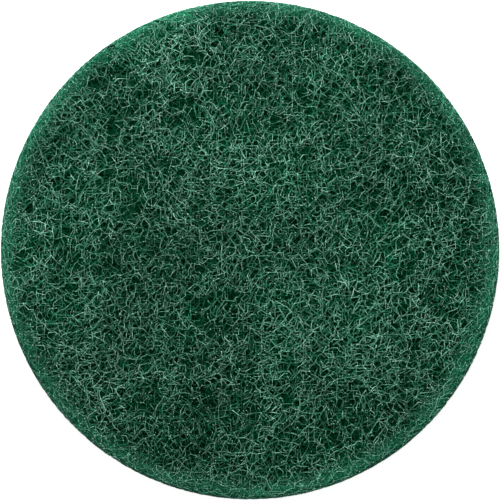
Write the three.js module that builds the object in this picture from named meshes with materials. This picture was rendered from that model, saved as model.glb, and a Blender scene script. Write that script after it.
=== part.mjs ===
// Non-woven abrasive disc: a lofty web of crimped, resin-bonded fibres, die-cut round for a sander.
// Millimetres, +Z up. The origin is the centre of the lower face.
//
// The disc is one piece of web, so it is one solid. Its skin runs over the upper face, round the
// crushed rim and back under the lower face. Strands of fibre wander through that skin as raised
// bands that cross each other, and between them it falls into the hollows of the open web.
import * as THREE from "three";
import { ConvexHull } from "three/addons/math/ConvexHull.js";

// The disc
const DISC_DIAMETER = 125;
const LOFT = 9; // thickness over the outermost strands
const RIM_ROUND = 2.2; // radius that the cutting die rolls onto both edges of the rim

// Strands
const STRAND_WIDTH = 1.1;
const STRAND_COUNT = 176; // strands that show in the skin, on both faces and the rim
const STRAND_LENGTH = 36;
const STRAND_STEP = 1.3; // from one place on a strand's centre line to the next
const STEPS_TO_PAIR = 2; // steps between the pairs of points that make a strand's two edges
const STRAND_BEND_RADIUS = 9; // the tightest curl
const STRAND_SINK_MAX = 1.2; // how far under the skin the lowest strands lie
const PRESSED_SHARE = 0.4; // strands that lie flat in the skin, pressed there as the web was cured

// Hollows
const HOLLOW_SPACING = 3.3; // closest that two low points of the web lie
const HOLLOW_CLEARANCE = 0.9; // from the edge of the nearest strand to a low point, at the least
const HOLLOW_SLOPE = 2.2; // fall for each millimetre away from a strand, at the most
const HOLLOW_DEPTH = 3.4;
const HOLLOW_DEPTH_SPREAD = 0.6; // share of that depth by which some hollows are shallower
const RIM_HOLLOW_DEPTH = 0.4; // the die packs the fibres at the rim, so the hollows there are shallow

// Points
const SHORTEST_EDGE = 0.75; // a point nearer than this to one that is placed is left out
const STRAND_TRIES_SPACING = 1.6; // spacing of the places tried for the start of a strand
const HOLLOW_TRIES_SPACING = 0.9; // spacing of the places tried for a low point
const WEB_SEED = 20417;
const WEB_COLOUR = 0x1f5540;
const WEB_ROUGHNESS = 0.85;

const GOLDEN_ANGLE = Math.PI * (3 - Math.sqrt(5));
const FULL_TURN = 2 * Math.PI;
const radius = DISC_DIAMETER / 2;
const flatRadius = radius - RIM_ROUND;
const wallHeight = LOFT - 2 * RIM_ROUND;
const faceArea = Math.PI * radius ** 2;
const rimArea = FULL_TURN * radius * LOFT;
const { seededRandom } = THREE.MathUtils;
seededRandom(WEB_SEED);

function randomBetween(low, high) {
  return low + (high - low) * seededRandom();
}

// The place on the smooth skin nearest to a point: the skin is everywhere RIM_ROUND from a thinner, smaller disc
function onSkin(point) {
  const core = point.clone().setZ(0).clampLength(0, flatRadius);
  core.z = THREE.MathUtils.clamp(point.z, RIM_ROUND, LOFT - RIM_ROUND);
  const outward = point.clone().sub(core).normalize();
  return { place: core.addScaledVector(outward, RIM_ROUND), outward };
}

// Places spread evenly over the skin, each about the given spacing from the next
function spreadOverSkin(spacing) {
  const places = [];
  const faceCount = Math.round(faceArea / spacing ** 2);
  const rimCount = Math.round(rimArea / spacing ** 2);
  for (let i = 0; i < faceCount; i++) {
    const out = radius * Math.sqrt((i + 0.5) / faceCount);
    const x = out * Math.cos(i * GOLDEN_ANGLE);
    const y = out * Math.sin(i * GOLDEN_ANGLE);
    places.push(onSkin(new THREE.Vector3(x, y, 0)), onSkin(new THREE.Vector3(x, y, LOFT)));
  }
  for (let i = 0; i < rimCount; i++) {
    const x = 2 * radius * Math.cos(i * GOLDEN_ANGLE);
    const y = 2 * radius * Math.sin(i * GOLDEN_ANGLE);
    places.push(onSkin(new THREE.Vector3(x, y, (LOFT * (i + 0.5)) / rimCount)));
  }
  return places;
}

// A strand wanders over the skin from its start, curling to and fro
function walkStrand(start) {
  const heading = new THREE.Vector3(randomBetween(-1, 1), randomBetween(-1, 1), randomBetween(-1, 1));
  heading.cross(start.outward).normalize();
  const steps = Math.round(STRAND_LENGTH / STRAND_STEP);
  const curlPhase = randomBetween(0, FULL_TURN);
  const curlRate = (randomBetween(1, 2.5) * FULL_TURN) / steps;
  const sink = seededRandom() < PRESSED_SHARE ? 0 : randomBetween(0, STRAND_SINK_MAX);
  const centres = [];
  let here = start;
  for (let i = 0; i < steps; i++) {
    const across = here.outward.clone().cross(heading).normalize();
    centres.push({ place: here.place, across });
    const bend = Math.sin(curlPhase + i * curlRate) / STRAND_BEND_RADIUS;
    heading.addScaledVector(across, bend * STRAND_STEP);
    here = onSkin(here.place.clone().addScaledVector(heading, STRAND_STEP));
    heading.projectOnPlane(here.outward).normalize();
  }
  return { centres, sink };
}

// From a place to the nearest strand's centre line
function strandDistance(place, strands) {
  let nearest = Infinity;
  for (const { centres } of strands) {
    for (const centre of centres) nearest = Math.min(nearest, centre.place.distanceToSquared(place));
  }
  return Math.sqrt(nearest);
}

// Each strand starts in the widest gap that the others leave. The highest strands come first.
function walkAllStrands() {
  const spots = spreadOverSkin(STRAND_TRIES_SPACING).map((start) => ({ start, gap: Infinity }));
  const strands = [];
  for (let i = 0; i < STRAND_COUNT; i++) {
    const widest = spots.reduce((a, b) => (b.gap > a.gap ? b : a));
    const strand = walkStrand(widest.start);
    strands.push(strand);
    for (const spot of spots) spot.gap = Math.min(spot.gap, strandDistance(spot.start.place, [strand]));
  }
  return strands.sort((a, b) => a.sink - b.sink);
}

function isClear(place, points, clearance) {
  return points.every((other) => other.smooth.distanceTo(place) > clearance);
}

// The points along both edges of every strand, left out where it passes under a higher strand
function strandPoints(strands) {
  const points = [];
  strands.forEach(({ centres, sink }, order) => {
    const higher = strands.slice(0, order);
    for (let i = 0; i < centres.length; i += STEPS_TO_PAIR) {
      for (const side of [-0.5, 0.5]) {
        const { place, across } = centres[i];
        const edge = onSkin(place.clone().addScaledVector(across, side * STRAND_WIDTH));
        if (strandDistance(edge.place, higher) < STRAND_WIDTH) continue;
        if (!isClear(edge.place, points, SHORTEST_EDGE)) continue;
        const depth = sink * Math.abs(edge.outward.z); // the die cuts every strand off flush at the rim
        points.push({ smooth: edge.place, outward: edge.outward, depth });
      }
    }
  });
  return points;
}

// The low points of the hollows, the ones furthest from any strand first
function hollowPoints(strands) {
  const tries = spreadOverSkin(HOLLOW_TRIES_SPACING).map(({ place, outward }) => {
    return { smooth: place, outward, clearance: strandDistance(place, strands) - STRAND_WIDTH / 2 };
  });
  const points = [];
  for (const { smooth, outward, clearance } of tries.sort((a, b) => b.clearance - a.clearance)) {
    if (clearance < HOLLOW_CLEARANCE || !isClear(smooth, points, HOLLOW_SPACING)) continue;
    const deepest = THREE.MathUtils.lerp(RIM_HOLLOW_DEPTH, HOLLOW_DEPTH, outward.z ** 4);
    const depth = deepest * (1 - randomBetween(0, HOLLOW_DEPTH_SPREAD));
    points.push({ smooth, outward, depth: Math.min(depth, clearance * HOLLOW_SLOPE) });
  }
  return points;
}

// Where a place on the skin goes on a ball of radius 1, without shearing, so that the ball's even triangles stay even
function onBall(place) {
  const out = Math.hypot(place.x, place.y);
  const above = place.z - LOFT / 2;
  const rolled = Math.abs(above) - wallHeight / 2;
  let climb = Math.min(Math.abs(above), wallHeight / 2) / radius;
  if (rolled > 0) climb += (RIM_ROUND * Math.asin(Math.min(1, rolled / RIM_ROUND))) / radius;
  if (out < flatRadius) climb += Math.log(flatRadius / out);
  const latitude = 2 * Math.atan(Math.tanh((Math.sign(above) * climb) / 2));
  const azimuth = Math.atan2(place.y, place.x);
  return new THREE.Vector3(
    Math.cos(latitude) * Math.cos(azimuth),
    Math.cos(latitude) * Math.sin(azimuth),
    Math.sin(latitude),
  );
}

function makeWeb() {
  const strands = walkAllStrands();
  const points = [...strandPoints(strands), ...hollowPoints(strands)];
  const ball = points.map((point) => onBall(point.smooth));
  const numberOf = new Map(ball.map((place, i) => [place, i]));
  const triangles = [];
  for (const face of new ConvexHull().setFromPoints(ball).faces) {
    let edge = face.edge;
    do {
      triangles.push(numberOf.get(edge.head().point));
      edge = edge.next;
    } while (edge !== face.edge);
  }
  const geometry = new THREE.BufferGeometry();
  geometry.setFromPoints(points.map(({ smooth, outward, depth }) => smooth.addScaledVector(outward, -depth)));
  geometry.setIndex(triangles);
  geometry.computeVertexNormals();
  return geometry;
}

const web = new THREE.Mesh(
  makeWeb(),
  new THREE.MeshStandardMaterial({ color: WEB_COLOUR, roughness: WEB_ROUGHNESS, metalness: 0 }),
);
web.name = "fibre_web";

const disc = new THREE.Group();
disc.add(web);

export default disc;
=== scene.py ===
"""Non-woven abrasive disc: a lofty web of crimped, resin-bonded fibres, die-cut round.

The inside of the web is one closed body, painted dark as the shade deep in the web, that keeps
the form of the disc's solid. Loose fibres are laid over it in layers, on both faces and round the
rim, so that the surface is the open net that the eye sees.
"""

import bmesh
import bpy
import numpy as np
from bpy.props import FloatProperty, FloatVectorProperty, IntProperty, PointerProperty
from bpy.types import Operator, Panel, PropertyGroup
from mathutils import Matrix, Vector


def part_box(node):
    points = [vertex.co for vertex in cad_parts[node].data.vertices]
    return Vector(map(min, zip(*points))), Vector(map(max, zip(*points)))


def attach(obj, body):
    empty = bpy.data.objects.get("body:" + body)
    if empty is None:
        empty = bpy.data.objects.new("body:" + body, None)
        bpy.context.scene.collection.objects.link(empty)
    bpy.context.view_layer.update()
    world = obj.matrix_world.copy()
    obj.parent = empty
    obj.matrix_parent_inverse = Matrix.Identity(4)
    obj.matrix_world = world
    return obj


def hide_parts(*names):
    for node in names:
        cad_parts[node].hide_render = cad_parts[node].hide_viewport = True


bl_info = {
    "name": "Non-woven Abrasive Disc",
    "version": (1, 0, 0),
    "blender": (4, 5, 0),
    "location": "3D View > Sidebar > Abrasive Disc",
    "description": "Lays the fibres of a lofty abrasive web over its die-cut disc",
    "category": "Add Mesh",
}

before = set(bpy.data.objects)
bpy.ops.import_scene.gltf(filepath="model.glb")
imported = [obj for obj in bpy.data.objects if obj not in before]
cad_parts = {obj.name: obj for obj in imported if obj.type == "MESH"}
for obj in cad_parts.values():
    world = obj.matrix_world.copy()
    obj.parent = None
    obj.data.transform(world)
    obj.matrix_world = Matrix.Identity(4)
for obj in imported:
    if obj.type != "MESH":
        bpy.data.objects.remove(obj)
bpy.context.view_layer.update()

BODY = "root"
CORE_NODE = "fibre_web"
MM = 0.001

_, web_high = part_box(CORE_NODE)
DISC_RADIUS = web_high.x
LOFT = web_high.z
HALF_LOFT = LOFT / 2
RIM_ROUND = 2.2 * MM  # radius that the cutting die rolls onto both edges of the rim
FLAT_RADIUS = DISC_RADIUS - RIM_ROUND
QUARTER_ARC = RIM_ROUND * np.pi / 2
WALL_HALF = HALF_LOFT - RIM_ROUND

# Half the width of a flat sheet that is rolled down to the middle of the wall, and a little over
SHEET_REACH = FLAT_RADIUS + QUARTER_ARC + WALL_HALF + 2 * MM
PACKED_FROM = DISC_RADIUS - 6 * MM  # from here out to the rim the die packs the fibres together
PACKED_WIDTH = 5 * MM  # width over which the fibres become wholly packed

# The lie of the fibres
TUBE_SIDES = 3
FOLDS = 3  # directions in which the carded web is laid over itself in each layer
FOLD_STRAY = 0.2  # share of the turn between folds by which one may lie off its direction
LINE_STRAY = 0.25  # share of the fibre spacing by which a line may lie off its place
BOND_STRAY = 0.4  # share of the bond spacing by which a bond may lie off the middle of its cell
BOND_GRID_WIDTH = 2.2 * SHEET_REACH  # a little wider than the sheet
OWN_WAVELENGTH = (0.75, 1.35)  # least and greatest share of a wavelength that one fibre takes
CRIMP_LENGTHS = (1.5 * MM, 2.4 * MM, 4.1 * MM, 8.5 * MM)
CRIMP_DEPTHS = (0.2 * MM, 0.25 * MM, 0.26 * MM, 0.4 * MM)
DRIFT_LENGTHS = (14 * MM, 19 * MM, 26 * MM, 34 * MM, 45 * MM)
WEAVE_LENGTHS = (2.6 * MM, 7 * MM)  # along a fibre, for its way up and down
WEAVE_DEPTHS = (0.12 * MM, 0.22 * MM)
SLACK = 0.3  # share of a hollow's depth that the slackest fibre follows
PRESSED = 0.85  # share of its depth that a fibre loses once it is wholly packed

# The fibres' thickness and tone
OWN_THICKNESS = (0.75, 1.2)  # least and greatest share of the fibre diameter
SWELL_LENGTHS = (1.7 * MM, 4.3 * MM)
SWELL_SHARES = (0.16, 0.12)
TONE_LEAST = 0.2
TONE_SPREAD = 0.5
TONE_POWER = 1.6  # makes bright stretches rarer than dim ones
RIPPLE_LENGTHS = (1.7 * MM, 3.4 * MM)
RIPPLE_STRENGTHS = (0.15, 0.15)
SPECKLE = 0.25
RIM_DIMMING = 0.5
DEPTH_UNIT = 3 * MM  # the depth that the attribute gives as 1
BURIED_FROM, BURIED_TO = 0.02, 0.31  # depths, in that unit, between which a fibre is painted darker, as shade deep in the web

# Each layer of fibres: its seed, its least and greatest depth, and how many times wider its
# spacing and longer its steps are than those of the outermost layer
UPPER_LAYERS = {
    "upper_fibres": (1, 0.0 * MM, 0.3 * MM, 1, 1),
    "upper_cross_fibres": (2, 0.05 * MM, 0.4 * MM, 1.25, 1),
    "upper_middle_fibres": (3, 0.5 * MM, 0.9 * MM, 1.2, 1.1),
    "upper_inner_fibres": (4, 0.9 * MM, 1.5 * MM, 1.2, 1.5),
}
LOWER_LAYERS = {"lower_fibres": (5, 0.0 * MM, 0.6 * MM, 1, 1)}

# The solid's relief, as the fibres follow it
RELIEF_CELL = 1 * MM
RELIEF_BLUR = 0.9 * MM

# The abrasive grain
GRAIN_SEED = 6
GRAIN_COUNT = 6000
GRAIN_DEEPEST = 0.7 * MM
GRAIN_SIZES = (0.5, 1.2)  # least and greatest share of the grain size

# The core
CORE_MERGE = 0.01 * MM  # vertices of the loose triangles that lie this close are one
CORE_CUTS = 2  # new vertices along each edge of the solid's skin
CORE_RIM_DEPTH = 0.16 * MM  # under the rounded skin of the rim
CORE_WALL_DEPTH = 0.15 * MM
CORE_FACE_DEPTH = 1.05 * MM  # further down where the skin faces up or down
CORE_BLEND = 3 * MM  # width over which the face's depth gives way to the rim's
UPPER_BLEND_END = FLAT_RADIUS - 0.3 * MM
LOWER_BLEND_END = FLAT_RADIUS - 1.5 * MM

# Patterns of the materials: scales are for each metre
CLOUDS = (48, 1.4)  # scale and strength of the soft clouds of denser and thinner resin
SPECKS = (3000, 4.0)  # and of the fine specks along a fibre
NET_SCALE = 1000
NET_WIDTH = 0.12
NET_CURL_SCALE = 450
NET_CURL = 1.6 * MM
# where the painted light on the core at the rim is full
RIM_COLOUR_FULL = DISC_RADIUS - 1.5 * MM

# The stage, in metres and watts
FLOOR_HALF = 4
FLOOR_GLOW = 0.8  # lifts the floor to white for the camera, and lights nothing
WORLD_STRENGTH = 0.3
LAMP_PLACE = (-0.05, 0.24, 0.27)
LAMP_WIDTH = 0.18
LAMP_POWER = 1.64
NEAREST_SEEN, FURTHEST_SEEN = 0.01, 100


class DiscWeb(PropertyGroup):
    """The web's fibres"""

    fibre_diameter: FloatProperty(
        name="Fibre diameter",
        description="Thickness of a fibre with its coat of resin",
        default=0.14 * MM,
        min=0.05 * MM,
        max=1 * MM,
        precision=5,
        unit="LENGTH",
        subtype="DISTANCE",
    )
    fibre_spacing: FloatProperty(
        name="Fibre spacing",
        description="From one fibre to the next that runs beside it in the same layer",
        default=1.8 * MM,
        min=1 * MM,
        max=10 * MM,
        precision=5,
        unit="LENGTH",
        subtype="DISTANCE",
    )
    fibre_length: FloatProperty(
        name="Fibre length",
        description="Mean length of a fibre before it ends",
        default=24 * MM,
        min=5 * MM,
        max=100 * MM,
        unit="LENGTH",
        subtype="DISTANCE",
    )
    fibre_step: FloatProperty(
        name="Fibre step",
        description="Length of one straight piece of a fibre",
        default=0.74 * MM,
        min=0.3 * MM,
        max=2 * MM,
        precision=5,
        unit="LENGTH",
        subtype="DISTANCE",
    )
    crimp: FloatProperty(
        name="Crimp",
        description="How far the fibres swing to and fro, 1 for the usual web",
        default=1.3,
        min=0,
        max=4,
    )
    kink: FloatProperty(
        name="Kink",
        description="How far single bends of a fibre stray from its smooth crimp",
        default=0.15 * MM,
        min=0,
        max=0.5 * MM,
        precision=5,
        unit="LENGTH",
        subtype="DISTANCE",
    )
    drift: FloatProperty(
        name="Drift",
        description="How strongly whole strips of the web swing off their direction",
        default=0.16,
        min=0,
        max=1,
        subtype="FACTOR",
    )
    bond_spacing: FloatProperty(
        name="Bond spacing",
        description="From one place where resin ties the fibres together to the next",
        default=0.7 * MM,
        min=0.5 * MM,
        max=5 * MM,
        precision=5,
        unit="LENGTH",
        subtype="DISTANCE",
    )
    bonding: FloatProperty(
        name="Bonding",
        description="How closely fibres run through the bonds, from 0 to 1",
        default=0.8,
        min=0,
        max=1,
        subtype="FACTOR",
    )
    lay_angle: FloatProperty(
        name="Lay angle",
        description="Direction that more of the fibres follow, from the carding of the web",
        default=np.radians(-36),
        subtype="ANGLE",
    )
    grain_size: FloatProperty(
        name="Grain size",
        description="Width of the coarsest abrasive grains",
        default=0.3 * MM,
        min=0.05 * MM,
        max=1 * MM,
        precision=5,
        unit="LENGTH",
        subtype="DISTANCE",
    )
    seed: IntProperty(
        name="Seed",
        description="Chooses another random lie of the fibres",
        default=11,
        min=0,
    )


class DiscFinish(PropertyGroup):
    """The web's colours"""

    # Partly painted highlight: the fibre's own resin and grain, made pale as the white sheen of light
    # on the fibres
    grain_and_sheen_fibre_colour: FloatVectorProperty(
        name="Bright fibre and sheen",
        description="Fibre at the face of the web where its resin is thick and full of grain, and painted pale as the white sheen of light on it",
        default=(0.58, 1.0, 0.84),
        min=0,
        max=1,
        subtype="COLOR",
    )
    dim_fibre_colour: FloatVectorProperty(
        name="Dim fibre",
        description="Fibre at the face of the web where its resin is thin",
        default=(0.0, 0.230, 0.110),
        min=0,
        max=1,
        subtype="COLOR",
    )
    # Painted shade: fibres deep in the web take this dark colour in place of the shade that falls among
    # the layers above them
    shaded_inner_fibre_colour: FloatVectorProperty(
        name="Shaded inner fibre",
        description="Fibre deep in the web, painted dark as the shade there",
        default=(0.0, 0.080, 0.028),
        min=0,
        max=1,
        subtype="COLOR",
    )
    # Painted shade: the core stands for the deep, unlit inside of the web
    core_shade_colour: FloatVectorProperty(
        name="Core",
        description="The inside of the web, painted near black as the shade at the bottom of its hollows",
        default=(0.0, 0.014, 0.003),
        min=0,
        max=1,
        subtype="COLOR",
    )
    # Painted light: the core is lighter at the rim, where the packed fibres face out into the light
    rim_light_colour: FloatVectorProperty(
        name="Rim",
        description="The inside of the web at the rim, painted lighter as the light that the packed fibres catch",
        default=(0.014, 0.110, 0.062),
        min=0,
        max=1,
        subtype="COLOR",
    )
    grain_colour: FloatVectorProperty(
        name="Grain",
        description="Abrasive grain that stands out of the resin",
        default=(0.50, 0.85, 0.68),
        min=0,
        max=1,
        subtype="COLOR",
    )


class DiscStage(PropertyGroup):
    """Floor and camera"""

    floor_colour: FloatVectorProperty(
        name="Floor",
        description="Plain white table",
        default=(0.92, 0.92, 0.92),
        min=0,
        max=1,
        subtype="COLOR",
    )
    lens: FloatProperty(
        name="Lens",
        description="Focal length on a 36 mm sensor",
        default=100,
        min=20,
        max=300,
        unit="CAMERA",
    )
    frame_filled: FloatProperty(
        name="Frame filled",
        description="Share of the picture's width that the disc takes",
        default=498.8 / 500,
        min=0.1,
        max=1,
        subtype="FACTOR",
    )


def skin_place(across, depth, side):
    """Where places of a flat sheet go once it is laid on the disc and rolled over its rim.

    A place as far from the centre as the flat part of a face stays where it is. Beyond that the
    sheet bends over the rim on an arc of RIM_ROUND and then runs straight towards the middle of
    the wall. depth is measured inwards at right angles, and side is 1 for the upper face and -1
    for the lower one. Gives the places and the outward directions there.
    """
    out = np.hypot(across[..., 0], across[..., 1])
    unit = across / np.maximum(out, 1e-9)[..., None]
    bend = np.clip((out - FLAT_RADIUS) / RIM_ROUND, 0, np.pi / 2)
    down_wall = np.maximum(out - FLAT_RADIUS - QUARTER_ARC, 0)
    radial = np.minimum(out, FLAT_RADIUS) + (RIM_ROUND - depth) * np.sin(bend)
    height = WALL_HALF + (RIM_ROUND - depth) * np.cos(bend) - down_wall
    place = np.concatenate([unit * radial[..., None], (HALF_LOFT + side * height)[..., None]], -1)
    outward = np.concatenate([unit * np.sin(bend)[..., None], (side * np.cos(bend))[..., None]], -1)
    return place, outward


def waves(rng, count, steps, step, lengths, strengths):
    """Smooth random values along each of count fibres: a sum of cosines of random phase."""
    along = np.arange(steps) * step
    total = np.zeros((count, steps))
    for length, strength in zip(lengths, strengths):
        phase = rng.uniform(0, 2 * np.pi, (count, 1))
        own_length = length * rng.uniform(*OWN_WAVELENGTH, (count, 1))
        total += strength * np.cos(2 * np.pi * along / own_length + phase)
    return total


def drift(rng, place, slope):
    """Smooth random shift of flat places, nearly the same for neighbours.

    It is a sum of plane waves. Each runs in one random direction and shifts in another, as far
    as makes its steepest slope the one given.
    """
    total = np.zeros_like(place)
    for length in DRIFT_LENGTHS:
        run, shift, phase = rng.uniform(0, 2 * np.pi, 3)
        travel = place @ np.array([np.cos(run), np.sin(run)])
        wave = slope * length / (2 * np.pi) * np.cos(2 * np.pi * travel / length + phase)
        total += wave[..., None] * np.array([np.cos(shift), np.sin(shift)])
    return total


def carded_paths(rng, angle, spacing, step, web):
    """Flat paths of the fibres of one fold of the web, side by side over a sheet that covers the disc.

    The fold starts as straight lines at the given angle, about a fibre spacing apart. Each line
    swings to and fro by crimp waves of its own and strays a little at each step. Then the fold
    as a whole drifts.
    """
    steps = int(2 * SHEET_REACH / step)
    lines = int(2 * SHEET_REACH / spacing)
    along = step * (np.arange(steps) - steps / 2)
    across = spacing * (np.arange(lines) - lines / 2 + rng.uniform(-LINE_STRAY, LINE_STRAY, lines))
    path = np.stack(np.broadcast_arrays(along[None, :], across[:, None]), -1)
    swings = [waves(rng, lines, steps, step, CRIMP_LENGTHS, CRIMP_DEPTHS) for _ in range(2)]
    path = path + web.crimp * np.stack(swings, -1) + rng.normal(0, web.kink, path.shape)
    turn = np.array([[np.cos(angle), np.sin(angle)], [-np.sin(angle), np.cos(angle)]])
    path = path @ turn
    return path + drift(rng, path, web.drift)


def pull_to_bonds(path, seed, web):
    """Moves flat places part of the way to the nearest bond, where resin ties crossing fibres together.

    The bonds lie on a square grid, each shifted at random inside its own cell.
    """
    cells = int(BOND_GRID_WIDTH / web.bond_spacing)
    rng = np.random.default_rng(seed)
    shift = rng.uniform(-BOND_STRAY, BOND_STRAY, (cells, cells, 2))
    cell = np.clip(np.rint(path / web.bond_spacing).astype(int) + cells // 2, 0, cells - 1)
    bond = web.bond_spacing * (cell - cells // 2 + shift[cell[..., 0], cell[..., 1]])
    return path + web.bonding * (bond - path)


def solid_relief(side):
    """How deep the disc's solid lies under its smooth face, on a square grid of cells.

    Each cell takes the mean depth of the solid's vertices on that face, weighed by a bell curve
    of their distance.
    """
    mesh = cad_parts[CORE_NODE].data
    place = np.empty(3 * len(mesh.vertices), np.float32)
    mesh.vertices.foreach_get("co", place)
    place = place.reshape(-1, 3)
    above = side * (place[:, 2] - HALF_LOFT)
    place, above = place[above > 0], above[above > 0]
    sunk = np.where(np.hypot(place[:, 0], place[:, 1]) < FLAT_RADIUS, HALF_LOFT - above, 0)
    cells = int(2 * SHEET_REACH / RELIEF_CELL) + 1
    line = (RELIEF_CELL * np.arange(cells) - SHEET_REACH).astype(np.float32)
    near_x = np.exp(-(((line[:, None] - place[:, 0]) / RELIEF_BLUR) ** 2) / 2)
    near_y = np.exp(-(((line[:, None] - place[:, 1]) / RELIEF_BLUR) ** 2) / 2)
    return (near_x * sunk) @ near_y.T / (near_x @ near_y.T + 1e-6)


def sample(grid, path):
    """The grid's values at flat places, blended between the four cells round each."""
    cell = np.clip((path + SHEET_REACH) / RELIEF_CELL, 0, len(grid) - 1.001)
    low = cell.astype(int)
    x, y = low[..., 0], low[..., 1]
    part_x, part_y = (cell - low)[..., 0], (cell - low)[..., 1]
    near = grid[x, y] * (1 - part_x) + grid[x + 1, y] * part_x
    far = grid[x, y + 1] * (1 - part_x) + grid[x + 1, y + 1] * part_x
    return near * (1 - part_y) + far * part_y


def fibre_radius(rng, web, count, steps, step):
    """Radius along each fibre, which swells and thins with its resin."""
    swell = waves(rng, count, steps, step, SWELL_LENGTHS, SWELL_SHARES)
    own = rng.uniform(*OWN_THICKNESS, (count, 1))
    return web.fibre_diameter / 2 * own * (1 + swell)


def fibre_lie(web, side, layer):
    """How the fibres of one layer lie under a face.

    Every line is cut at random into fibres, each with its own depth, tone and slack. A fibre
    weaves up and down, sinks into the solid's hollows as far as its slack lets it, and is
    pressed to the skin at the rim. Gives places, outward directions, radii, depths, tones and
    the steps to keep.
    """
    seed, nearest, deepest, wider, longer = layer
    rng = np.random.default_rng(web.seed + seed)
    step = web.fibre_step * longer
    turns = np.arange(FOLDS) + rng.uniform(-FOLD_STRAY, FOLD_STRAY, FOLDS)
    angles = web.lay_angle + np.pi * turns / FOLDS
    folds = [carded_paths(rng, angle, web.fibre_spacing * wider, step, web) for angle in angles]
    path = pull_to_bonds(np.concatenate(folds), web.seed, web)
    count, steps = path.shape[:2]
    cut = rng.uniform(0, 1, (count, steps)) < step / web.fibre_length
    fibre = np.cumsum(cut, axis=1)
    own = [np.take_along_axis(rng.uniform(0, 1, (count, steps)), fibre, axis=1) for _ in range(3)]
    out = np.hypot(path[..., 0], path[..., 1])
    packed = np.clip((out - PACKED_FROM) / PACKED_WIDTH, 0, 1)
    radius = fibre_radius(rng, web, count, steps, step)
    weave = waves(rng, count, steps, step, WEAVE_LENGTHS, WEAVE_DEPTHS)
    sag = SLACK * own[1] * sample(solid_relief(side), path)
    depth = nearest + own[0] * (deepest - nearest) + weave + sag
    depth = np.maximum(depth * (1 - PRESSED * packed), 0) + radius
    ripple = waves(rng, count, steps, step, RIPPLE_LENGTHS, RIPPLE_STRENGTHS)
    speckle = rng.uniform(-SPECKLE, SPECKLE, (count, steps))
    tone = np.clip(TONE_LEAST + TONE_SPREAD * own[2] + ripple + speckle, 0, 1) ** TONE_POWER
    tone *= 1 - RIM_DIMMING * packed
    place, outward = skin_place(path, depth, side)
    kept = ~cut & (out < FLAT_RADIUS + QUARTER_ARC + WALL_HALF)
    return place, outward, radius, depth, tone, kept


def tubes(place, outward, radius, kept):
    """Three-sided tubes along paths, with flat ends.

    place and outward are (fibres, steps, 3), radius and kept (fibres, steps). Each step gets a
    ring of corners round the path, and rings of neighbouring kept steps are joined by quads.
    Gives the corners, the quads, the end triangles and the step that each corner came from.
    """
    along = np.gradient(place, axis=1)
    along /= np.linalg.norm(along, axis=-1, keepdims=True)
    across = np.cross(along, outward)
    across /= np.maximum(np.linalg.norm(across, axis=-1, keepdims=True), 1e-9)
    rise = np.cross(across, along)
    angle = 2 * np.pi * np.arange(TUBE_SIDES) / TUBE_SIDES + np.pi / 2
    ring = np.cos(angle)[:, None] * across[..., None, :] + np.sin(angle)[:, None] * rise[..., None, :]
    corners = place[..., None, :] + radius[..., None, None] * ring

    number = np.arange(corners[..., 0].size).reshape(corners.shape[:-1])
    joined = kept[:, :-1] & kept[:, 1:]
    this, after = number[:, :-1][joined], number[:, 1:][joined]
    this_next, after_next = np.roll(this, -1, axis=1), np.roll(after, -1, axis=1)
    quads = np.stack([this, this_next, after_next, after], -1).reshape(-1, 4)
    edge = np.zeros((len(kept), 1), bool)
    starts = joined & ~np.concatenate([edge, joined[:, :-1]], axis=1)
    ends = joined & ~np.concatenate([joined[:, 1:], edge], axis=1)
    caps = np.concatenate([number[:, :-1][starts][:, ::-1], number[:, 1:][ends]])

    used = np.unique(np.concatenate([quads.ravel(), caps.ravel()]))
    renumber = np.zeros(number.size, int)
    renumber[used] = np.arange(len(used))
    return corners.reshape(-1, 3)[used], renumber[quads], renumber[caps], used // TUBE_SIDES


def add_mesh(name, corners, quads, caps):
    """A mesh object at the origin from arrays of corners, quads and triangles."""
    mesh = bpy.data.meshes.new(name)
    mesh.vertices.add(len(corners))
    mesh.vertices.foreach_set("co", corners.astype(np.float32).ravel())
    loops = np.concatenate([quads.ravel(), caps.ravel()]).astype(np.int32)
    mesh.loops.add(len(loops))
    mesh.loops.foreach_set("vertex_index", loops)
    quad_starts = 4 * np.arange(len(quads))
    cap_starts = 4 * len(quads) + 3 * np.arange(len(caps))
    mesh.polygons.add(len(quads) + len(caps))
    mesh.polygons.foreach_set("loop_start", np.concatenate([quad_starts, cap_starts]).astype(np.int32))
    mesh.update(calc_edges=True)
    mesh.shade_smooth()
    piece = bpy.data.objects.new(name, mesh)
    bpy.context.scene.collection.objects.link(piece)
    return piece


def add_value(piece, name, values):
    """A number for each vertex, which the piece's material reads by name."""
    attribute = piece.data.attributes.new(name, "FLOAT", "POINT")
    attribute.data.foreach_set("value", values.astype(np.float32))


def lay_fibres(name, lie):
    """Closed tubes along one layer of fibres."""
    place, outward, radius, depth, tone, kept = lie
    corners, quads, caps, source = tubes(place, outward, radius, kept)
    piece = add_mesh(name, corners, quads, caps)
    add_value(piece, "depth", (depth / DEPTH_UNIT).ravel()[source])
    add_value(piece, "tone", tone.ravel()[source])
    return piece


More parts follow.
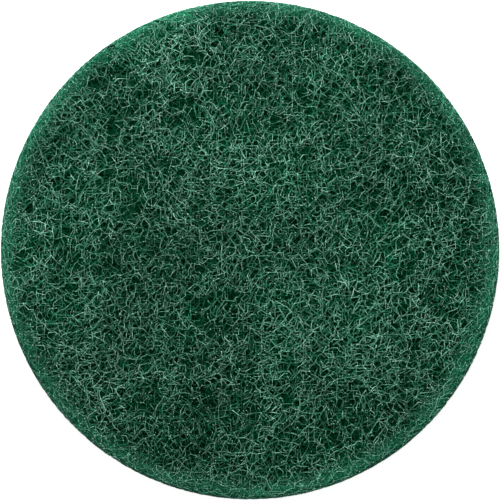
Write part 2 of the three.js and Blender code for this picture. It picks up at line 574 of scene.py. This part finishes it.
def strew_grain(name, web, lie):
    """Abrasive grain on the outermost fibres of a layer: octahedra of random size, turned at random.

    Three directions at right angles are found for each grain, and its six corners lie at
    random distances along them.
    """
    place, outward, radius, depth, _, kept = lie
    count = GRAIN_COUNT
    rng = np.random.default_rng(web.seed + GRAIN_SEED)
    spots = rng.choice(np.flatnonzero(kept & (depth < GRAIN_DEEPEST)), count, replace=False)
    lift = radius.reshape(-1, 1)[spots] * rng.uniform(0, 1, (count, 1))
    centre = place.reshape(-1, 3)[spots] + lift * outward.reshape(-1, 3)[spots]
    first = rng.normal(size=(count, 3))
    first /= np.linalg.norm(first, axis=1, keepdims=True)
    second = np.cross(first, rng.normal(size=(count, 3)))
    second /= np.linalg.norm(second, axis=1, keepdims=True)
    axes = np.stack([first, second, np.cross(first, second)], 1)
    size = web.grain_size / 2 * rng.uniform(*GRAIN_SIZES, (count, 3, 1))
    corners = np.concatenate([centre[:, None] + size * axes, centre[:, None] - size * axes], 1)
    faces = np.array(
        [[0, 1, 2], [1, 3, 2], [3, 4, 2], [4, 0, 2], [1, 0, 5], [3, 1, 5], [4, 3, 5], [0, 4, 5]]
    )
    triangles = (6 * np.arange(count)[:, None, None] + faces).reshape(-1, 3)
    return add_mesh(name, corners.reshape(-1, 3), np.empty((0, 4), int), triangles)


def dress(piece, material):
    """Gives a piece its material and the body it rides on."""
    piece.data.materials.clear()
    piece.data.materials.append(material)
    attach(piece, BODY)


def new_material(name):
    """A new material with its node tree and its shader."""
    material = bpy.data.materials.new(name)
    material.use_nodes = True
    shader = material.node_tree.nodes["Principled BSDF"]
    return material, material.node_tree, shader


def mix_colour(tree, share, first, second):
    """Mixes two colours by a node's output. Each colour may be a node's output too."""
    node = tree.nodes.new("ShaderNodeMix")
    node.data_type = "RGBA"
    for socket, value in (("Factor", share), ("A", first), ("B", second)):
        target = [s for s in node.inputs if s.name == socket and s.enabled][0]
        if isinstance(value, bpy.types.NodeSocket):
            tree.links.new(value, target)
        else:
            target.default_value = (*value, 1)
    return [s for s in node.outputs if s.enabled][0]


def cloud_group():
    """Node group: denser and thinner resin over the web, as a factor that swings about 1."""
    if "Resin Clouds" in bpy.data.node_groups:
        return bpy.data.node_groups["Resin Clouds"]
    group = bpy.data.node_groups.new("Resin Clouds", "ShaderNodeTree")
    group.interface.new_socket("Scale", in_out="INPUT", socket_type="NodeSocketFloat")
    group.interface.new_socket("Strength", in_out="INPUT", socket_type="NodeSocketFloat")
    group.interface.new_socket("Factor", in_out="OUTPUT", socket_type="NodeSocketFloat")
    nodes, links = group.nodes, group.links
    entry, leave = nodes.new("NodeGroupInput"), nodes.new("NodeGroupOutput")
    place = nodes.new("ShaderNodeTexCoord")
    noise = nodes.new("ShaderNodeTexNoise")
    noise.inputs["Detail"].default_value = 4
    centred = nodes.new("ShaderNodeMath")
    centred.operation = "SUBTRACT"
    centred.inputs[1].default_value = 0.5
    spread = nodes.new("ShaderNodeMath")
    spread.operation = "MULTIPLY_ADD"
    spread.inputs[2].default_value = 1
    links.new(place.outputs["Object"], noise.inputs["Vector"])
    links.new(entry.outputs["Scale"], noise.inputs["Scale"])
    links.new(noise.outputs["Fac"], centred.inputs[0])
    links.new(centred.outputs[0], spread.inputs[0])
    links.new(entry.outputs["Strength"], spread.inputs[1])
    links.new(spread.outputs[0], leave.inputs["Factor"])
    return group


def clouded(tree, colour, scale, strength):
    """A colour made lighter and darker by the resin, at one scale."""
    clouds = tree.nodes.new("ShaderNodeGroup")
    clouds.node_tree = cloud_group()
    clouds.inputs["Scale"].default_value = scale
    clouds.inputs["Strength"].default_value = strength
    scaled = tree.nodes.new("ShaderNodeVectorMath")
    scaled.operation = "SCALE"
    tree.links.new(colour, scaled.inputs[0])
    tree.links.new(clouds.outputs["Factor"], scaled.inputs["Scale"])
    return scaled.outputs[0]


def mottled(tree, colour):
    """A colour with the soft clouds and the fine specks of resin that the whole web shares."""
    return clouded(tree, clouded(tree, colour, *CLOUDS), *SPECKS)


def fibre_material():
    """Resin-coated fibre, brighter and dimmer along its length, with painted sheen in the pale colour
    of its bright stretches and painted shade that darkens it the deeper it lies.
    """
    if "Fibre" in bpy.data.materials:
        return bpy.data.materials["Fibre"]
    finish = bpy.context.scene.disc_finish
    material, tree, shader = new_material("Fibre")
    tone = tree.nodes.new("ShaderNodeAttribute")
    tone.attribute_name = "tone"
    depth = tree.nodes.new("ShaderNodeAttribute")
    depth.attribute_name = "depth"
    # Painted shade: the deeper a fibre lies, the more its colour gives way to the dark inner colour, in
    # place of real shade
    depth_shade_mask = tree.nodes.new("ShaderNodeMapRange")
    depth_shade_mask.interpolation_type = "SMOOTHSTEP"
    depth_shade_mask.inputs["From Min"].default_value = BURIED_FROM
    depth_shade_mask.inputs["From Max"].default_value = BURIED_TO
    tree.links.new(depth.outputs["Fac"], depth_shade_mask.inputs["Value"])
    # Partly painted highlight: the bright colour is the fibre's grainy resin made pale as the white
    # sheen of light on it
    toned = mix_colour(
        tree, tone.outputs["Fac"], tuple(finish.dim_fibre_colour), tuple(finish.grain_and_sheen_fibre_colour)
    )
    shade_darkened = mix_colour(tree, depth_shade_mask.outputs["Result"], toned, tuple(finish.shaded_inner_fibre_colour))
    tree.links.new(mottled(tree, shade_darkened), shader.inputs["Base Color"])
    shader.inputs["Roughness"].default_value = 0.4
    shader.inputs["Specular IOR Level"].default_value = 0.15
    shader.inputs["Specular Tint"].default_value = (0.1, 0.8, 0.6, 1)
    return material


def grain_material():
    """Dull, pale abrasive grain."""
    finish = bpy.context.scene.disc_finish
    material, _, shader = new_material("Grain")
    shader.inputs["Base Color"].default_value = (*finish.grain_colour, 1)
    shader.inputs["Roughness"].default_value = 0.5
    shader.inputs["Specular IOR Level"].default_value = 0.2
    return material


def rim_group():
    """Node group: a mask that rises from 0 to 1 over the last millimetres before the rim, where the
    core is painted lighter as lit.
    """
    group = bpy.data.node_groups.new("Rim Light Mask", "ShaderNodeTree")
    group.interface.new_socket("Mask", in_out="OUTPUT", socket_type="NodeSocketFloat")
    nodes, links = group.nodes, group.links
    leave = nodes.new("NodeGroupOutput")
    place = nodes.new("ShaderNodeTexCoord")
    flat = nodes.new("ShaderNodeVectorMath")
    flat.operation = "MULTIPLY"
    flat.inputs[1].default_value = (1, 1, 0)
    out = nodes.new("ShaderNodeVectorMath")
    out.operation = "LENGTH"
    rise = nodes.new("ShaderNodeMapRange")
    rise.inputs["From Min"].default_value = PACKED_FROM
    rise.inputs["From Max"].default_value = RIM_COLOUR_FULL
    links.new(place.outputs["Object"], flat.inputs[0])
    links.new(flat.outputs[0], out.inputs[0])
    links.new(out.outputs["Value"], rise.inputs["Value"])
    links.new(rise.outputs["Result"], leave.inputs["Mask"])
    return group


def net_group():
    """Node group: a net of crimped fibres in the solid's own space, as a mask that is 1 on a fibre.

    The walls between random cells are the fibres. Noise bends the place first, so that they curl.
    """
    group = bpy.data.node_groups.new("Fibre Net", "ShaderNodeTree")
    group.interface.new_socket("Scale", in_out="INPUT", socket_type="NodeSocketFloat")
    group.interface.new_socket("Width", in_out="INPUT", socket_type="NodeSocketFloat")
    group.interface.new_socket("Mask", in_out="OUTPUT", socket_type="NodeSocketFloat")
    nodes, links = group.nodes, group.links
    entry, leave = nodes.new("NodeGroupInput"), nodes.new("NodeGroupOutput")
    place = nodes.new("ShaderNodeTexCoord")
    noise = nodes.new("ShaderNodeTexNoise")
    noise.inputs["Scale"].default_value = NET_CURL_SCALE
    noise.inputs["Detail"].default_value = 2
    bent = nodes.new("ShaderNodeVectorMath")
    bent.operation = "MULTIPLY_ADD"
    bent.inputs[1].default_value = (NET_CURL, NET_CURL, NET_CURL)
    net = nodes.new("ShaderNodeTexVoronoi")
    net.feature = "DISTANCE_TO_EDGE"
    fade = nodes.new("ShaderNodeMapRange")
    fade.interpolation_type = "SMOOTHSTEP"
    fade.inputs["From Min"].default_value = 0
    fade.inputs["To Min"].default_value = 1
    fade.inputs["To Max"].default_value = 0
    links.new(place.outputs["Object"], noise.inputs["Vector"])
    links.new(noise.outputs["Color"], bent.inputs[0])
    links.new(place.outputs["Object"], bent.inputs[2])
    links.new(bent.outputs[0], net.inputs["Vector"])
    links.new(entry.outputs["Scale"], net.inputs["Scale"])
    links.new(net.outputs["Distance"], fade.inputs["Value"])
    links.new(entry.outputs["Width"], fade.inputs["From Max"])
    links.new(fade.outputs["Result"], leave.inputs["Mask"])
    return group


def core_material():
    """The inside of the web, painted dark as its deep shade and lighter at the rim as painted light,
    with the net of deep fibres that crosses it.
    """
    finish = bpy.context.scene.disc_finish
    material, tree, shader = new_material("Web Core Shade")
    net = tree.nodes.new("ShaderNodeGroup")
    net.node_tree = net_group()
    net.inputs["Scale"].default_value = NET_SCALE
    net.inputs["Width"].default_value = NET_WIDTH
    rim = tree.nodes.new("ShaderNodeGroup")
    rim.node_tree = rim_group()
    # Painted shade of the core, giving way to painted light towards the rim
    inside = mix_colour(tree, rim.outputs["Mask"], tuple(finish.core_shade_colour), tuple(finish.rim_light_colour))
    # The deep net takes the inner fibres' painted-shade colour
    colour = mix_colour(tree, net.outputs["Mask"], inside, tuple(finish.shaded_inner_fibre_colour))
    tree.links.new(mottled(tree, colour), shader.inputs["Base Color"])
    bump = tree.nodes.new("ShaderNodeBump")
    bump.inputs["Strength"].default_value = 0.8
    bump.inputs["Distance"].default_value = 0.3 * MM
    tree.links.new(net.outputs["Mask"], bump.inputs["Height"])
    tree.links.new(bump.outputs["Normal"], shader.inputs["Normal"])
    shader.inputs["Roughness"].default_value = 0.8
    shader.inputs["Specular IOR Level"].default_value = 0.05
    return material


def sink_core(core):
    """Merges and subdivides the copied skin and sinks it under the fibres.

    Each vertex moves inwards along its normal. Towards the rim it goes instead to a little under
    the rounded skin that the die leaves, which lies RIM_ROUND out from a thinner, smaller disc,
    so that no slit opens behind the packed fibres. The move there ends further in on the lower
    face, where its edge is seen from the side.
    """
    shell = bmesh.new()
    shell.from_mesh(core.data)
    bmesh.ops.remove_doubles(shell, verts=shell.verts, dist=CORE_MERGE)
    bmesh.ops.subdivide_edges(shell, edges=shell.edges, cuts=CORE_CUTS, use_grid_fill=True)
    shell.to_mesh(core.data)
    shell.free()
    mesh = core.data
    count = len(mesh.vertices)
    place = np.empty(count * 3, np.float32)
    normal = np.empty(count * 3, np.float32)
    mesh.vertices.foreach_get("co", place)
    mesh.vertices.foreach_get("normal", normal)
    place, normal = place.reshape(-1, 3), normal.reshape(-1, 3)
    out = np.hypot(place[:, 0], place[:, 1])
    inner = place.copy()
    inner[:, :2] *= np.minimum(1, FLAT_RADIUS / np.maximum(out, MM))[:, None]
    inner[:, 2] = np.clip(place[:, 2], RIM_ROUND, LOFT - RIM_ROUND)
    outward = place - inner
    outward /= np.maximum(np.linalg.norm(outward, axis=1, keepdims=True), 1e-9)
    packed = inner + (RIM_ROUND - CORE_RIM_DEPTH) * outward
    sunk = place - (CORE_WALL_DEPTH + CORE_FACE_DEPTH * np.abs(normal[:, 2:])) * normal
    blend_end = np.where(place[:, 2] < HALF_LOFT, LOWER_BLEND_END, UPPER_BLEND_END)
    share = np.clip(1 + (out - blend_end) / CORE_BLEND, 0, 1)[:, None]
    mesh.vertices.foreach_set("co", (sunk + share * (packed - sunk)).astype(np.float32).ravel())
    mesh.update()
    mesh.shade_smooth()


class DISC_OT_web_core(Operator):
    """The inside of the web, painted dark as the shade deep in it, in the form of the disc's solid and
    sunk a little below its skin
    """

    bl_idname = "disc.web_core"
    bl_label = "Web Core Shade"

    def execute(self, context):
        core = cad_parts[CORE_NODE].copy()
        core.data = core.data.copy()
        core.name = core.data.name = "web_core"
        core.parent = None
        context.scene.collection.objects.link(core)
        sink_core(core)
        dress(core, core_material())
        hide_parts(CORE_NODE)
        return {"FINISHED"}


class DISC_OT_upper_fibres(Operator):
    """The fibres of the upper face in their layers, and the grain on the outermost ones"""

    bl_idname = "disc.upper_fibres"
    bl_label = "Upper Face Fibres"

    def execute(self, context):
        web = context.scene.disc_web
        material = fibre_material()
        lies = {name: fibre_lie(web, 1, layer) for name, layer in UPPER_LAYERS.items()}
        for name, lie in lies.items():
            dress(lay_fibres(name, lie), material)
        dress(strew_grain("upper_grain", web, lies["upper_fibres"]), grain_material())
        return {"FINISHED"}


class DISC_OT_lower_fibres(Operator):
    """The fibres of the lower face"""

    bl_idname = "disc.lower_fibres"
    bl_label = "Lower Face Fibres"

    def execute(self, context):
        web = context.scene.disc_web
        for name, layer in LOWER_LAYERS.items():
            dress(lay_fibres(name, fibre_lie(web, -1, layer)), fibre_material())
        return {"FINISHED"}


class DISC_OT_stage(Operator):
    """A white table, a soft lamp and the camera above the disc"""

    bl_idname = "disc.stage"
    bl_label = "Stage"

    def execute(self, context):
        stage = context.scene.disc_stage
        self.add_floor(context, stage)
        self.add_world(context)
        self.add_lamp(context)
        self.add_camera(context, stage)
        context.scene.view_settings.view_transform = "Standard"
        return {"FINISHED"}

    def add_floor(self, context, stage):
        """A wide white floor that keeps the disc's shadow."""
        half = FLOOR_HALF
        corners = [(-half, -half, 0), (half, -half, 0), (half, half, 0), (-half, half, 0)]
        mesh = bpy.data.meshes.new("floor")
        mesh.from_pydata(corners, [], [(0, 1, 2, 3)])
        floor = bpy.data.objects.new("floor", mesh)
        context.scene.collection.objects.link(floor)
        material, tree, shader = new_material("White Table")
        shader.inputs["Base Color"].default_value = (*stage.floor_colour, 1)
        shader.inputs["Roughness"].default_value = 0.9
        shader.inputs["Emission Color"].default_value = (1, 1, 1, 1)
        ray = tree.nodes.new("ShaderNodeLightPath")
        glow = tree.nodes.new("ShaderNodeMath")
        glow.operation = "MULTIPLY"
        glow.inputs[1].default_value = FLOOR_GLOW
        tree.links.new(ray.outputs["Is Camera Ray"], glow.inputs[0])
        tree.links.new(glow.outputs[0], shader.inputs["Emission Strength"])
        mesh.materials.append(material)

    def add_world(self, context):
        """Even light from all round, white to the camera."""
        world = bpy.data.worlds.new("Studio")
        world.use_nodes = True
        tree = world.node_tree
        tree.nodes["Background"].inputs["Color"].default_value = (1, 1, 1, 1)
        ray = tree.nodes.new("ShaderNodeLightPath")
        strength = tree.nodes.new("ShaderNodeMapRange")
        strength.inputs["To Min"].default_value = WORLD_STRENGTH
        strength.inputs["To Max"].default_value = 1
        tree.links.new(ray.outputs["Is Camera Ray"], strength.inputs["Value"])
        tree.links.new(strength.outputs["Result"], tree.nodes["Background"].inputs["Strength"])
        context.scene.world = world

    def add_lamp(self, context):
        """One round soft lamp above and behind the disc, aimed at it."""
        lamp = bpy.data.lights.new("key", "AREA")
        lamp.shape = "DISK"
        lamp.size = LAMP_WIDTH
        lamp.energy = LAMP_POWER
        key = bpy.data.objects.new("key", lamp)
        context.scene.collection.objects.link(key)
        key.location = LAMP_PLACE
        key.rotation_euler = (-key.location).to_track_quat("-Z", "Y").to_euler()

    def add_camera(self, context, stage):
        """A camera straight above, as far up as makes the disc fill its share of the picture."""
        data = bpy.data.cameras.new("camera")
        data.lens = stage.lens
        camera = bpy.data.objects.new("camera", data)
        context.scene.collection.objects.link(camera)
        frame_width = 2 * DISC_RADIUS / stage.frame_filled
        distance = frame_width * stage.lens / data.sensor_width
        camera.location = Vector((0, 0, LOFT - RIM_ROUND + distance))
        data.clip_start = NEAREST_SEEN
        data.clip_end = FURTHEST_SEEN
        context.scene.camera = camera


class DISC_PT_panel(Panel):
    """Lists the disc's pieces and sizes"""

    bl_idname = "DISC_PT_panel"
    bl_label = "Abrasive Disc"
    bl_space_type = "VIEW_3D"
    bl_region_type = "UI"
    bl_category = "Abrasive Disc"

    def draw(self, context):
        layout = self.layout
        for group in (context.scene.disc_web, context.scene.disc_finish, context.scene.disc_stage):
            box = layout.box()
            for name in group.bl_rna.properties.keys():
                if name not in ("rna_type", "name"):
                    box.prop(group, name)
        for step in STEPS:
            layout.operator(step.bl_idname)


GROUPS = {"disc_web": DiscWeb, "disc_finish": DiscFinish, "disc_stage": DiscStage}
STEPS = (DISC_OT_stage, DISC_OT_web_core, DISC_OT_upper_fibres, DISC_OT_lower_fibres)


def register():
    for cls in (*GROUPS.values(), *STEPS, DISC_PT_panel):
        bpy.utils.register_class(cls)
    for name, group in GROUPS.items():
        setattr(bpy.types.Scene, name, PointerProperty(type=group))


def unregister():
    for name in GROUPS:
        delattr(bpy.types.Scene, name)
    for cls in (DISC_PT_panel, *reversed(STEPS), *GROUPS.values()):
        bpy.utils.unregister_class(cls)


def main():
    register()
    bpy.ops.disc.stage()
    bpy.ops.disc.web_core()
    bpy.ops.disc.upper_fibres()
    bpy.ops.disc.lower_fibres()


if __name__ == "__main__":
    main()
